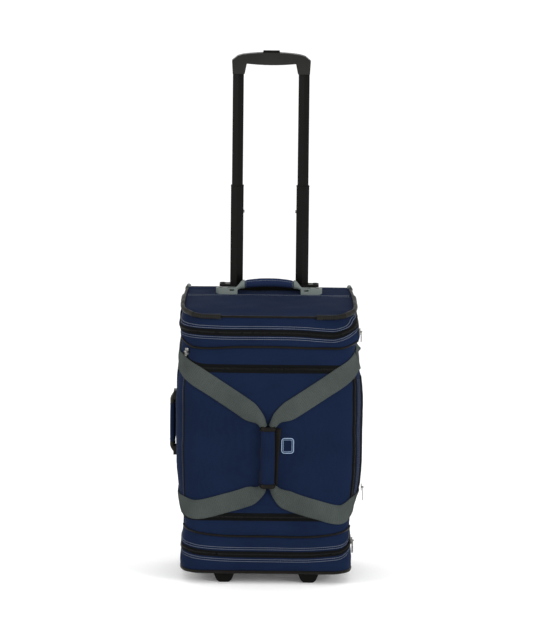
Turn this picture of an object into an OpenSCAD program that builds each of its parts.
// Softside upright travel bag on wheels, with a two-stage trolley handle.
// Millimetres. +Z is up, the front of the bag faces -Y, and z = 0 is the floor.

/* [Bag] */
// Overall width of the bag's walls
bag_w = 350; // [330:2:356]
// Distance from the front skin to the back skin
bag_d = 216; // [206:2:220]
// Height of the bag's bottom above the floor
base_z = 20; // [18:1:22]
// Height of the top panel's front edge
top_front_z = 525; // [518:1:530]
// Height of the top panel's back edge
top_back_z = 553; // [546:1:556]
// Plan radius of the two front vertical corners
front_r = 50; // [44:1:54]
// Plan radius of the two back vertical corners
back_r = 24; // [20:1:28]
// Thickness of the stiffened fabric walls
wall_t = 3.4; // [3:0.1:3.6]

/* [Lid and pockets] */
// Lowest point of the front lid
lid_low_z = 133; // [130:1:136]
// Highest point of the front lid
lid_high_z = 419; // [416:1:421]
// Thickness of the padded front lid
lid_t = 5; // [4:0.2:5.4]
// How far the middle of the lid stands in front of its edges
lid_crown = 8; // [4:0.5:9]
// Middle of the zip under the top flap
top_zip_z = 493; // [491:1:494]
// Middle of the zip round the bottom pocket
bottom_zip_z = 62; // [58:1:64]
// Seam where the top flap hinges, measured back from the centre
flap_seam_y = 37; // [34:1:40]

/* [Trolley handle] */
// Distance between the two tube centres
tube_pitch = 128.6; // [126:0.2:130]
// Distance of the tubes behind the bag's centre
tube_y = 85; // [84:0.5:86]
// Width of the middle tubes
mid_w = 25; // [24.6:0.1:25.2]
// Width of the inner tubes
inner_w = 21.5; // [21:0.1:21.6]
// Height of the middle tubes' top when drawn out
mid_top_z = 756; // [750:1:760]
// Height of the handle grip's underside when drawn out
grip_z = 976; // [970:1:980]

/* [Running gear] */
// Radius of the two wheels over their tyres
wheel_r = 30; // [28:0.5:31]
// Radius of the wheel axles
axle_r = 3; // [2.5:0.1:3.5]
// Radial clearance between a wheel's bore and its axle
axle_gap = 0.05; // [0.03:0.01:0.08]
// Distance of each wheel from the bag's centre
wheel_x = 143; // [140:1:144]

/* [Straps and handles] */
// Width of the carry webbing
web_w = 38; // [36:1:40]
// Thickness of the carry webbing
web_t = 2; // [1.6:0.1:2.2]
// Length of the grab handle's padded grip
grab_len = 100; // [96:1:104]
// Length of the side handle's padded grip
side_len = 84; // [78:1:88]

/* [Hidden] */
$fn = 64;

navy = "#1c2746";
navy_dark = "#171f3a";
webbing_grey = "#59605f";
trim_black = "#1b1a18";
plastic_black = "#2b2b2a";
mount_grey = "#78827f";
silver = "#b9bcbe";
lining_grey = "#4a4d52";
big = 900;

half_w = bag_w / 2;
front_y = -bag_d / 2 - 4;
back_y = front_y + bag_d;
corner_x = half_w - front_r;
corner_y = front_y + front_r;
// The lid and the front panels end on this line round each front corner
edge_y = -80;
edge_gap = 1.2;
tube_x = tube_pitch / 2;
slope = (top_back_z - top_front_z) / bag_d;
function top_z(y) = top_front_z + (y - front_y) * slope;

flap_low_z = top_zip_z + 5;
flap_gap = 1;
lid_high_r = 32;
lid_low_r = 38;
cover_y = 66;
divider_t = 3;
zip_t = 1.4;
upper_divider_z = 478;
lower_divider_z = 79;
housing_x = 117;
housing_y = 58;
housing_z = 86;
wheel_y = 102;
wheel_w = 22;
strap_high_z = 432;
strap_low_z = 151;
web_gap = zip_t + 0.4;
wrap_low_z = 194;
wrap_high_z = 313;
wrap_x = -15;
wrap_w = 30;
lid_front_y = front_y - lid_crown;
wrap_y = lid_front_y - 16;
// The lid's front is an arc that meets the flat front at the corners
crown_r = (corner_x * corner_x + lid_crown * lid_crown) / (2 * lid_crown);
grab_y = 55;
grab_pivot_z = 554.5;
grab_mount_l = 42;
grab_mount_w = 22;
bezel_top = 562;
bezel_y = 70;
bezel_low_z = 540;
case_screw_x = 91;
case_screw_r = 3;
catch_r = 2;
outer_w = 29;
outer_low_z = 44;
outer_top_z = 556;
tube_wall = 1.2;
collar_drop = 2;
mid_low_z = 502;
inner_low_z = 694;

// ---- Plan outline of the bag and what is cut from it ----

// Outline of the bag seen from above, g outside the skin
module outline(g = 0) {
  for (s = [-1, 1]) {
    translate([s * corner_x, corner_y]) circle(front_r + g);
    translate([s * (half_w - back_r), back_y - back_r]) circle(back_r + g);
  }
  translate([-corner_x, front_y - g]) square([2 * corner_x, bag_d + 2 * g]);
  translate([-half_w - g, corner_y]) square([bag_w + 2 * g, back_y - back_r - corner_y]);
  translate([-half_w + back_r, corner_y]) square([bag_w - 2 * back_r, back_y + g - corner_y]);
}

// The same outline where the padded lid crowns forward
module crowned(g = 0) {
  outline(g);
  intersection() {
    translate([0, lid_front_y + crown_r]) circle(crown_r + g, $fn = 360);
    translate([-corner_x, lid_front_y - g]) square([2 * corner_x, 60]);
  }
}

// Ring of skin from g0 to g1 outside the outline
module ring(g0, g1) {
  difference() {
    outline(g1);
    outline(g0);
  }
}
module crowned_ring(g0, g1) {
  difference() {
    crowned(g1);
    crowned(g0);
  }
}

// The part of a child shape between two y values
module between_y(y0, y1) {
  intersection() {
    children();
    translate([-big / 2, y0]) square([big, y1 - y0]);
  }
}

// The part of a child shape on one side of the bag, s = -1 left and 1 right
module on_side(s) {
  intersection() {
    children();
    translate([s > 0 ? 0 : -big / 2, -big / 2]) square([big / 2, big]);
  }
}

module rise(z0, z1) {
  translate([0, 0, z0]) linear_extrude(z1 - z0) children();
}

// Solid space under the sloping top, less drop
module under_top(drop = 0) {
  rotate([90, 0, 90]) translate([0, 0, -big / 2]) linear_extrude(big)
    polygon([[-big, -10], [big, -10], [big, top_z(big) - drop], [-big, top_z(-big) - drop]]);
}

// Sloping slab from d0 to d1 below the top surface
module top_slab(d0, d1) {
  difference() {
    under_top(d0);
    under_top(d1);
  }
}

module housing_space(g = 0) {
  for (s = [-1, 1])
    translate([s > 0 ? housing_x - g : -big, housing_y - g, -1])
      cube([big - housing_x + g, big, housing_z + g + 1]);
}

// Band of skin wrapped round the front from one edge line to the other
module front_band(z0, z1, g0, g1, y1 = edge_y) {
  rise(z0, z1) between_y(-big / 2, y1) ring(g0, g1);
}

// Lid outline seen from the front, g larger all round: rounded right corners, square hinge side
module lid_face(g) {
  low = lid_low_z - g;
  high = lid_high_z + g;
  right = half_w - 4;
  translate([-half_w - g, low]) square([half_w + g + right - lid_low_r, high - low]);
  translate([0, low + lid_low_r + g]) square([right + g, high - low - lid_low_r - lid_high_r - 2 * g]);
  translate([right - lid_high_r, high - g - lid_high_r]) circle(lid_high_r + g);
  translate([right - lid_low_r, low + g + lid_low_r]) circle(lid_low_r + g);
}

module lid_prism(g) {
  translate([0, edge_y + 8, 0]) rotate([90, 0, 0]) linear_extrude(big) lid_face(g);
}

// ---- Fabric walls ----

module back_panel() {
  color(navy_dark) difference() {
    intersection() {
      rise(base_z, top_back_z + 10) between_y(back_y - back_r, big / 2) ring(-wall_t, 0);
      under_top();
    }
    housing_space();
  }
}

module side_panel(s) {
  color(navy) difference() {
    intersection() {
      rise(base_z, top_back_z + 10)
        between_y(edge_y + edge_gap, back_y - back_r) on_side(s) ring(-wall_t, 0);
      under_top();
    }
    housing_space();
    // The top flap's skirt takes the upper front part of the wall
    translate([-big / 2, -big, flap_low_z - flap_gap])
      cube([big, big + flap_seam_y + flap_gap, big]);
  }
}
module left_side_panel() { side_panel(-1); }
module right_side_panel() { side_panel(1); }

// Fixed strip of the top panel behind the seam, with two holes for the tubes
module top_strip() {
  color(navy) difference() {
    intersection() {
      rise(base_z, top_back_z + 10) between_y(flap_seam_y, big / 2) outline(-wall_t);
      top_slab(0, 4);
    }
    for (s = [-1, 1])
      translate([s * tube_x - 15.5, tube_y - 12, 500]) cube([31, 24, 100]);
  }
}

module base_tray() {
  color(trim_black) difference() {
    rise(base_z, base_z + 4) outline(-wall_t);
    housing_space();
  }
}

module front_upper_panel() {
  color(navy) difference() {
    front_band(lid_high_z - lid_high_r, flap_low_z - flap_gap, -wall_t, 0, edge_y + edge_gap);
    lid_prism(edge_gap);
  }
}

module front_lower_panel() {
  color(navy) difference() {
    front_band(base_z, lid_low_z + lid_low_r, -wall_t, 0, edge_y + edge_gap);
    lid_prism(edge_gap);
  }
}

module divider(z) {
  rise(z, z + divider_t) between_y(-big / 2, cover_y) outline(-wall_t);
}

// Floor of the top pocket
module upper_divider() {
  color(lining_grey) divider(upper_divider_z);
}

// Ceiling of the bottom pocket, clear of the wheel housings
module lower_divider() {
  color(lining_grey) difference() {
    divider(lower_divider_z);
    housing_space();
  }
}

// Lining board that closes off the space where the trolley tubes run
module trolley_cover() {
  color(lining_grey) difference() {
    intersection() {
      translate([-half_w + wall_t, cover_y, base_z + 4]) cube([bag_w - 2 * wall_t, 2.5, big]);
      under_top(4);
    }
    housing_space();
  }
}

// ---- Front lid and the top flap ----

module front_lid() {
  color(navy) intersection() {
    rise(lid_low_z, lid_high_z) between_y(-big / 2, edge_y - edge_gap) crowned_ring(-lid_t, 0);
    lid_prism(0);
  }
}

// Top flap: the top panel in front of the seam with a skirt down to the zip
module top_flap() {
  color(navy) intersection() {
    union() {
      rise(flap_low_z, top_back_z) between_y(-big / 2, flap_seam_y - flap_gap) ring(-wall_t, 0);
      intersection() {
        rise(flap_low_z, top_back_z) between_y(-big / 2, flap_seam_y - flap_gap) outline(-wall_t);
        top_slab(0, 4);
      }
    }
    under_top();
  }
}

// Thick moulded guards round the two front corners of the top edge
module corner_guards() {
  color(plastic_black) for (s = [-1, 1]) intersection() {
    rise(flap_low_z, top_back_z + 10) between_y(-big / 2, corner_y + 24) on_side(s)
      intersection() {
        ring(0, 3.2);
        translate([s > 0 ? 90 : -big / 2, -big / 2]) square([big / 2 - 90, big]);
      }
    top_slab(-2, 8);
  }
}

// Piping between the guards and back along both sides to the seam
module top_piping() {
  color(trim_black) intersection() {
    rise(flap_low_z, top_back_z + 10) union() {
      intersection() {
        ring(0, 2);
        translate([-90, -big / 2]) square([180, big / 2]);
      }
      between_y(corner_y + 24, flap_seam_y - flap_gap) ring(0, 2);
    }
    top_slab(-1, 3);
  }
}

// ---- Piping and zips on the fixed walls ----

module body_piping() {
  color(trim_black) {
    front_band(463, 467, 0, 2.2);
    front_band(97, 101, 0, 2.2);
    difference() {
      rise(base_z, base_z + 4) between_y(-big / 2, housing_y) ring(0, 2.2);
      housing_space();
    }
    intersection() {
      rise(base_z, top_back_z + 10) between_y(flap_seam_y + flap_gap, back_y - back_r) ring(0, 2);
      top_slab(-1, 3);
    }
  }
}

// Fixed half of the zip under the top flap
module top_zip() {
  color(trim_black)
    rise(top_zip_z - 5, top_zip_z + 3.5) between_y(-big / 2, flap_seam_y) ring(0, zip_t);
}

// Fixed half of the zip round three sides of the lid
module lid_zip() {
  color(trim_black) {
    difference() {
      front_band(lid_low_z - 12, lid_high_z + 14, 0, zip_t);
      lid_prism(2);
    }
    rise(lid_low_z + 20, lid_high_z - 20) on_side(1) between_y(edge_y + 2, edge_y + 12) ring(0, zip_t);
  }
}

module bottom_zip() {
  color(trim_black)
    rise(bottom_zip_z - 6, bottom_zip_z + 6) between_y(-big / 2, flap_seam_y) ring(0, zip_t);
}

// Zip of the flat pocket on the right wall
module side_zip() {
  color(trim_black) rise(190, 410) on_side(1)
    between_y(side_slider_y - 6, side_slider_y + 6) ring(0, side_bulge + zip_t);
}

// ---- Zip sliders and their pullers ----

slider_l = 13;
pull_eye_r = 1.0;
pull_pin_r = 0.93;
pull_out = 5.2;

// Slider lying on a wall that faces along +X, its pull bar at the origin's height
module slider() {
  translate([zip_t + 0.1, -4, -slider_l / 2]) cube([1.6, 8, slider_l]);
  for (s = [-1, 1]) translate([3.1, s > 0 ? 2.7 : -4, -1.5]) cube([3.2, 1.3, 3]);
  translate([pull_out, 0, 0]) rotate([90, 0, 0]) cylinder(r = pull_pin_r, h = 7, center = true);
}

// Puller hanging from the slider's bar
module puller(len) {
  difference() {
    union() {
      translate([pull_out, 0, 0]) rotate([90, 0, 0]) cylinder(r = 1.9, h = 4.6, center = true);
      translate([pull_out - 0.7, -2.3, -len]) cube([1.4, 4.6, len - 1.2]);
    }
    translate([pull_out, 0, 0]) rotate([90, 0, 0]) cylinder(r = pull_eye_r, h = 8, center = true);
    translate([pull_out - 2, -1.2, -len + 1.4]) cube([4, 2.4, len / 2]);
  }
}

// Places on the skin: each is a turn about the corner's centre
module on_right_corner(a, z) {
  translate([corner_x, corner_y, z]) rotate([0, 0, a]) translate([front_r, 0, 0]) children();
}
module on_left_corner(a, z) {
  translate([-corner_x, corner_y, z]) rotate([0, 0, a]) translate([front_r, 0, 0]) children();
}
module on_right_wall(y, z) {
  translate([half_w + side_bulge, y, z]) children();
}

top_slider_deg = -12;
lid_slider_deg = -128;
bottom_slider_deg = -30;
top_slider_z = 492;
lid_slider_z = 455;
bottom_slider_z = 84;
side_slider_z = 184;
side_slider_y = -58;
// How far the soft wall pushes the side zip out
side_bulge = 6;

module zip_sliders() {
  color(silver) {
    on_right_corner(top_slider_deg, top_slider_z) slider();
    on_left_corner(lid_slider_deg, lid_slider_z) slider();
    on_right_corner(bottom_slider_deg, bottom_slider_z) slider();
  }
}
module top_zip_puller() {
  color(silver) on_right_corner(top_slider_deg, top_slider_z) puller(20);
}
module lid_zip_puller() {
  color(silver) on_left_corner(lid_slider_deg, lid_slider_z) puller(9);
}
module bottom_zip_puller() {
  color(silver) on_right_corner(bottom_slider_deg, bottom_slider_z) puller(24);
}
module side_zip_slider() {
  color(silver) on_right_wall(side_slider_y, side_slider_z) slider();
}
module side_zip_puller() {
  color(silver) on_right_wall(side_slider_y, side_slider_z) puller(26);
}

// ---- Webbing and the centre wrap handle ----

// Flat band between two points in the plane that the front view shows
module band(a, b, w) {
  d = b - a;
  ang = atan2(d[1], d[0]);
  translate(a) rotate(ang) translate([0, -w / 2]) square([norm(d), w]);
}

// Webbing that lies on the front between two points
module front_webbing(a, b) {
  intersection() {
    rise(base_z, flap_low_z)
      between_y(-big / 2, edge_y - edge_gap) crowned_ring(web_gap, web_gap + web_t);
    translate([0, edge_y, 0]) rotate([90, 0, 0]) linear_extrude(big) band(a, b, web_w);
  }
}

// One loop: upper diagonal, the narrow run inside the wrap, lower diagonal
module carry_strap(s, inner_x) {
  run_w = 12;
  color(webbing_grey) {
    front_webbing([s * (half_w + 14), strap_high_z + 8], [s * (inner_x + 14), wrap_high_z + 22]);
    front_webbing([s * (half_w + 14), strap_low_z + 2], [s * (inner_x + 24), wrap_low_z - 22]);
    translate([s > 0 ? inner_x : -inner_x - run_w, lid_front_y - 8.2, wrap_low_z - 24])
      cube([run_w, 5, wrap_high_z - wrap_low_z + 50]);
    for (z = [wrap_low_z - 24, wrap_high_z + 10])
      translate([s > 0 ? inner_x : -inner_x - 20, lid_front_y - 6, z]) cube([20, 5.6, 16]);
  }
}
module left_carry_strap() { carry_strap(-1, 1); }
module right_carry_strap() { carry_strap(1, 1); }

// The same webbing where it runs on along both side walls
module side_webbing() {
  color(webbing_grey) for (s = [-1, 1], z = [strap_high_z, strap_low_z])
    rise(z - web_w / 2, z + web_w / 2)
      between_y(edge_y + 6, back_y - back_r) on_side(s) ring(zip_t + 0.1, zip_t + 0.1 + web_t);
}

// Back of the wrap handle, sewn to the left strap
module wrap_core() {
  h = wrap_high_z - wrap_low_z;
  color(trim_black)
    translate([wrap_x, lid_front_y - 2.6, wrap_low_z]) cube([wrap_w + 12, 2.2, h]);
}

// Padded cuff that folds over both straps and closes on the right
module wrap_flap() {
  h = wrap_high_z - wrap_low_z;
  color(navy) {
    translate([wrap_x, wrap_y, wrap_low_z]) cube([wrap_w, 5, h]);
    translate([wrap_x, wrap_y, wrap_low_z]) cube([1.4, 12.8, h]);
  }
}

// ---- Grab handle on the top, carry handle on the left wall ----

grab_mount_x = 62;
grab_mount_top = grab_pivot_z + 3.5;
pivot_r = 2;
pivot_gap = 0.05;

// Plan of the right mount: a bar with a round outer end
module mount_plan() {
  r = grab_mount_w / 2;
  translate([grab_mount_x, -r]) square([grab_mount_l - r, 2 * r]);
  translate([grab_mount_x + grab_mount_l - r, 0]) circle(r);
}

// Upright slot with round ends, cut through a mount's front wall
module mount_slot() {
  for (x = [-2.6, 2.6]) translate([x, 0, 0]) rotate([90, 0, 0]) cylinder(r = 2, h = 8);
  translate([-2.6, -8, -2]) cube([5.2, 8, 4]);
}

module grab_mounts() {
  low = top_z(grab_y);
  color(mount_grey) for (m = [0, 1]) mirror([m, 0, 0]) translate([0, grab_y, 0]) difference() {
    rise(low - 2, grab_mount_top) mount_plan();
    // Space for the end of the grip, and the bore for its pin
    translate([grab_mount_x - 6, -9, low + 2]) cube([25, 18, 30]);
    translate([80, 0, grab_pivot_z]) rotate([0, 90, 0])
      cylinder(r = pivot_r + pivot_gap, h = 16, center = true);
    translate([73, -7, grab_pivot_z - 0.5]) mount_slot();
    translate([0, -grab_y, 0]) under_top();
  }
}

// Padded grip with two end tongues, each on a pin
module grab_grip() {
  color(navy) {
    translate([-grab_len / 2, grab_y, 568]) rotate([0, 90, 0]) cylinder(r = 9, h = grab_len);
    for (s = [-1, 1]) {
      translate([s > 0 ? grab_len / 2 - 4 : -79, grab_y - 5, grab_pivot_z - 3])
        cube([83 - grab_len / 2, 10, 14]);
      translate([s * 80, grab_y, grab_pivot_z]) rotate([0, 90, 0])
        cylinder(r = pivot_r, h = 13, center = true);
    }
  }
}

side_low_z = 236;
side_high_z = 363;
side_mount_h = 17;
side_grip_t = 9;
side_pivot_x = -half_w - 5.5;
side_pin_r = 2.5;

module side_pins(r, l) {
  for (z = [side_low_z + side_mount_h, side_high_z - side_mount_h])
    translate([side_pivot_x, 0, z]) cylinder(r = r, h = l, center = true);
}

module side_mounts() {
  color(mount_grey) difference() {
    for (z = [side_low_z, side_high_z - side_mount_h])
      translate([-half_w - 9, -15, z]) cube([9, 30, side_mount_h]);
    side_pins(side_pin_r + pivot_gap, 20);
  }
}

module side_grip() {
  mid_z = (side_low_z + side_high_z) / 2;
  z0 = mid_z - side_len / 2;
  inner = (side_high_z - side_low_z) / 2 - side_mount_h - 1;
  color(navy) {
    translate([-half_w - 16, -14, z0]) cube([side_grip_t, 28, side_len]);
    translate([0, 0, mid_z]) for (m = [0, 1]) mirror([0, 0, m])
      translate([-half_w - 12, -6, side_len / 2 - 2]) cube([9, 12, inner - side_len / 2 + 2]);
    side_pins(side_pin_r, 16);
  }
}

module handle_rivets() {
  color(silver) for (s = [-1, 1])
    translate([s * 95, grab_y, grab_mount_top]) cylinder(r = 4, h = 1.6);
}

// ---- Trolley ----

// Section of a tube: flat back, ridged front
module tube_section(w, d) {
  polygon([[-w / 2, d * 0.28], [-w / 2, -d * 0.2], [0, -d / 2], [w / 2, -d * 0.2],
           [w / 2, d * 0.28], [w * 0.34, d / 2], [-w * 0.34, d / 2]]);
}
function depth_of(w) = w * 0.74;

module tube(w, z0, z1) {
  translate([0, tube_y, z0]) linear_extrude(z1 - z0) difference() {
    tube_section(w, depth_of(w));
    tube_section(w - 2 * tube_wall, depth_of(w) - 2 * tube_wall);
  }
}

module outer_tubes() {
  color(silver) for (s = [-1, 1]) translate([s * tube_x, 0, 0]) tube(outer_w, outer_low_z, outer_top_z);
}

module tube_bracket() {
  color(plastic_black) difference() {
    translate([-tube_x - 22, tube_y - 14, base_z + 4]) cube([tube_pitch + 44, 28, 32]);
    for (s = [-1, 1]) translate([s * tube_x, tube_y, outer_low_z])
      linear_extrude(40) tube_section(outer_w, depth_of(outer_w));
  }
}

module handle_bezel() {
  color(plastic_black) difference() {
    union() {
      translate([-97.5, bezel_y, bezel_low_z]) cube([195, 31, bezel_top - bezel_low_z]);
      for (s = [-1, 1]) translate([s * case_screw_x, tube_y, bezel_top - 2]) cylinder(r = 5, h = 4);
    }
    under_top();
    for (s = [-1, 1]) translate([s * tube_x, tube_y, 530]) {
      linear_extrude(outer_top_z - 530) tube_section(outer_w, depth_of(outer_w));
      linear_extrude(60) tube_section(mid_w + 0.8, depth_of(mid_w) + 0.8);
    }
    for (s = [-1, 1]) translate([s * case_screw_x, tube_y, bezel_top - 8])
      cylinder(r = case_screw_r, h = 20);
    tube_catch_space();
  }
}

// Spring plungers in the bezel that bear on the middle tubes
module tube_catch_space() {
  for (s = [-1, 1]) translate([s * (tube_x - mid_w / 2 - 0.6), tube_y + 1, outer_top_z + catch_r + 0.3])
    rotate([0, s > 0 ? -90 : 90, 0]) cylinder(r = catch_r, h = 9);
}
module tube_catches() {
  color(silver) tube_catch_space();
}

module case_screws() {
  color(silver) for (s = [-1, 1]) translate([s * case_screw_x, tube_y, bezel_top - 8])
    cylinder(r = case_screw_r, h = 9);
}

module mid_tube(s) {
  color(plastic_black) difference() {
    translate([s * tube_x, 0, 0]) tube(mid_w, mid_low_z, mid_top_z - collar_drop);
    // Hole that the inner tube's lock button springs into
    translate([s * (tube_x - mid_w / 2), tube_y, inner_low_z + lock_rise])
      rotate([0, 90, 0]) cylinder(r = lock_hole_r, h = 6, center = true);
  }
}
module mid_tube_left() { mid_tube(-1); }
module mid_tube_right() { mid_tube(1); }

// Caps on the middle tubes' tops that guide the inner tubes
module mid_collars() {
  gap = 0.6;
  h = collar_drop + 1;
  color("#3a3b3a") for (s = [-1, 1]) translate([s * tube_x, tube_y, mid_top_z - collar_drop]) difference() {
    linear_extrude(h) tube_section(mid_w + gap, depth_of(mid_w) + gap);
    translate([0, 0, -1]) linear_extrude(h + 2) tube_section(inner_w + gap, depth_of(inner_w) + gap);
  }
}

module inner_tube(s) {
  color(plastic_black) difference() {
    translate([s * tube_x, 0, 0]) tube(inner_w, inner_low_z, grip_z + socket_h);
    translate([s * (tube_x - inner_w / 2), tube_y, inner_low_z + lock_rise])
      rotate([0, 90, 0]) cylinder(r = lock_hole_r, h = 6, center = true);
  }
}
module inner_tube_left() { inner_tube(-1); }
module inner_tube_right() { inner_tube(1); }

clip_t = 1;
clip_w = 5.6;
clip_len = 26;
lock_button_r = 3;
lock_hole_r = 3.4;
// Height of a lock button above its tube's foot
lock_rise = 11;

// Bent spring clip inside a tube's foot, with a button through the tube's wall
module lock_clip(w, z, out) {
  inset = tube_wall + 1;
  for (x = [-w / 2 + inset, w / 2 - inset - clip_t])
    translate([x, tube_y - 2.4, z - 6]) cube([clip_t, clip_w, clip_len]);
  translate([-w / 2 + inset, tube_y - 2.4, z - 6 - clip_t]) cube([w - 2 * inset, clip_w, clip_t]);
  translate([-w / 2 + inset - out, tube_y, z + 5]) rotate([0, 90, 0]) cylinder(r = lock_button_r, h = out);
}
module inner_lock_clips() {
  color(silver) for (s = [-1, 1]) translate([s * tube_x, 0, 0])
    mirror([s < 0 ? 1 : 0, 0, 0]) lock_clip(inner_w, inner_low_z + lock_rise - 5, 6);
}

// ---- Grip at the top of the trolley ----

grip_top_z = grip_z + 40;
grip_d = 25;
grip_out = 77;
gap_x = 52;
gap_z = grip_z + 18;
socket_h = 14;
button_low_z = grip_z + 26;
grip_screw_x = 32;
grip_screw_z = grip_z + 35.5;
grip_screw_r = 1.5;

// Front view of the grip: two sockets joined by a low arch
module grip_face() {
  polygon(concat(
    [[-grip_out + 1.5, grip_z], [-grip_out, grip_z + 26], [-66, grip_z + 35]],
    [for (i = [-4:4]) [i * 14, grip_top_z + 2 - 4 * pow(i / 4, 2)]],
    [[66, grip_z + 35], [grip_out, grip_z + 26], [grip_out - 1.5, grip_z],
     [gap_x, grip_z], [gap_x - 4, gap_z + 2]],
    [for (i = [-3:3]) [-i * 14, gap_z - 0.5 + 2 * pow(i / 3, 2)]],
    [[-gap_x + 4, gap_z + 2], [-gap_x, grip_z]]));
}

module grip_solid() {
  difference() {
    translate([0, tube_y + grip_d / 2, 0]) rotate([90, 0, 0]) linear_extrude(grip_d) grip_face();
    // Sockets for the tubes
    for (s = [-1, 1]) translate([s * tube_x, tube_y, grip_z - 1])
      linear_extrude(socket_h + 1) tube_section(inner_w, depth_of(inner_w));
    // Hollow for the button's bar and the heads of the push rods
    translate([-tube_x - 4.2, tube_y - 6, grip_z + 21.3]) cube([tube_pitch + 8.4, 12, 10]);
    for (s = [-1, 1]) translate([s * tube_x, tube_y, grip_z]) cylinder(r = 4, h = 24);
    translate([-16.8, tube_y - 7.3, grip_z + 20]) cube([33.6, 14.6, 40]);
    // Blind screw holes
    for (s = [-1, 1]) translate([s * grip_screw_x, tube_y + 30, grip_screw_z])
      rotate([90, 0, 0]) cylinder(r = grip_screw_r, h = 38);
  }
}

module grip_front() {
  color(plastic_black) intersection() {
    grip_solid();
    translate([-big / 2, tube_y - 50, 0]) cube([big, 50, 2 * big]);
  }
}
module grip_rear() {
  color(plastic_black) intersection() {
    grip_solid();
    translate([-big / 2, tube_y, 0]) cube([big, 50, 2 * big]);
  }
}

module grip_screws() {
  color(silver) for (s = [-1, 1]) translate([s * grip_screw_x, tube_y + grip_d / 2 - 0.2, grip_screw_z])
    rotate([90, 0, 0]) cylinder(r = grip_screw_r, h = 18);
}

module release_button() {
  color("#3a3b3a") {
    translate([-16.2, tube_y - 6.8, button_low_z]) cube([32.4, 13.6, 19.5]);
    translate([-tube_x - 2.7, tube_y - 4, button_low_z]) cube([tube_pitch + 5.4, 8, 4]);
  }
}

rod_low_z = inner_low_z + 31;
module push_rods() {
  color(silver) for (s = [-1, 1]) translate([s * tube_x, tube_y, rod_low_z])
    cylinder(r = 2.5, h = button_low_z - rod_low_z);
}

module button_spring() {
  color(silver) translate([0, tube_y, grip_z + 20]) difference() {
    cylinder(r = 4.5, h = 6);
    translate([0, 0, -1]) cylinder(r = 3.3, h = 8);
  }
}

// ---- Wheels and feet ----

module wheel_housing(s) {
  well_w = wheel_w + 5;
  color(plastic_black) difference() {
    intersection() {
      rise(base_z - 6, housing_z) outline(2.2);
      translate([s > 0 ? housing_x : -big, housing_y, 0]) cube([big - housing_x, big, big]);
    }
    // Wheel well, open below and behind
    translate([s * wheel_x, wheel_y, wheel_r]) rotate([0, 90, 0])
      cylinder(r = wheel_r + 4, h = well_w, center = true);
    translate([s * wheel_x - well_w / 2, wheel_y, -1]) cube([well_w, 60, wheel_r + 35]);
    translate([s * wheel_x - well_w / 2, wheel_y - wheel_r - 4, -1]) cube([well_w, 60, wheel_r + 1]);
    translate([s * wheel_x, wheel_y, wheel_r]) rotate([0, 90, 0])
      cylinder(r = axle_r, h = well_w + 14, center = true);
  }
}
module wheel_housing_left() { wheel_housing(-1); }
module wheel_housing_right() { wheel_housing(1); }

module wheel_axles() {
  color(silver) for (s = [-1, 1]) translate([s * wheel_x, wheel_y, wheel_r])
    rotate([0, 90, 0]) cylinder(r = axle_r, h = wheel_w + 5 + 14, center = true);
}

// Spoked wheel with a running bore
module wheel(s) {
  rim_r = wheel_r - 8;
  color("#4a4b4b") translate([s * wheel_x, wheel_y, wheel_r]) rotate([0, 90, 0]) difference() {
    union() {
      cylinder(r = 8, h = wheel_w, center = true);
      difference() {
        cylinder(r = rim_r, h = wheel_w - 2, center = true);
        cylinder(r = rim_r - 3, h = wheel_w, center = true);
      }
      for (i = [0:4]) rotate(i * 72) translate([0, -2, -4]) cube([rim_r - 1, 4, 8]);
    }
    cylinder(r = axle_r + axle_gap, h = wheel_w + 4, center = true);
  }
}
module tyre(s) {
  color("#141414") translate([s * wheel_x, wheel_y, wheel_r]) rotate([0, 90, 0]) rotate_extrude()
    polygon([[wheel_r - 8, -wheel_w / 2 + 1], [wheel_r - 3, -wheel_w / 2 + 1], [wheel_r, -wheel_w / 2 + 5],
             [wheel_r, wheel_w / 2 - 5], [wheel_r - 3, wheel_w / 2 - 1], [wheel_r - 8, wheel_w / 2 - 1]]);
}
module wheel_left() { wheel(-1); }
module wheel_right() { wheel(1); }
module tyre_left() { tyre(-1); }
module tyre_right() { tyre(1); }

module front_feet() {
  color(trim_black) for (s = [-1, 1]) translate([s * 82, -62, 0]) rotate([90, 0, 0]) linear_extrude(33)
    polygon([[-9.5, 0], [9.5, 0], [15, 5], [21, base_z], [-21, base_z], [-15, 5]]);
}

back_panel();
left_side_panel();
right_side_panel();
top_strip();
base_tray();
front_upper_panel();
front_lower_panel();
upper_divider();
lower_divider();
trolley_cover();
outer_tubes();
tube_bracket();
handle_bezel();
tube_catches();
case_screws();
wheel_housing_left();
wheel_housing_right();
wheel_axles();
front_feet();
body_piping();
top_zip();
lid_zip();
bottom_zip();
side_zip();
zip_sliders();
side_webbing();
right_carry_strap();
grab_mounts();
side_mounts();
handle_rivets();
front_lid();
left_carry_strap();
wrap_core();
wrap_flap();
top_flap();
corner_guards();
top_piping();
mid_tube_left();
mid_tube_right();
mid_collars();
inner_tube_left();
inner_tube_right();
inner_lock_clips();
grip_front();
grip_rear();
grip_screws();
release_button();
push_rods();
button_spring();
wheel_left();
tyre_left();
wheel_right();
tyre_right();
grab_grip();
side_grip();
side_zip_slider();
top_zip_puller();
lid_zip_puller();
bottom_zip_puller();
side_zip_puller();
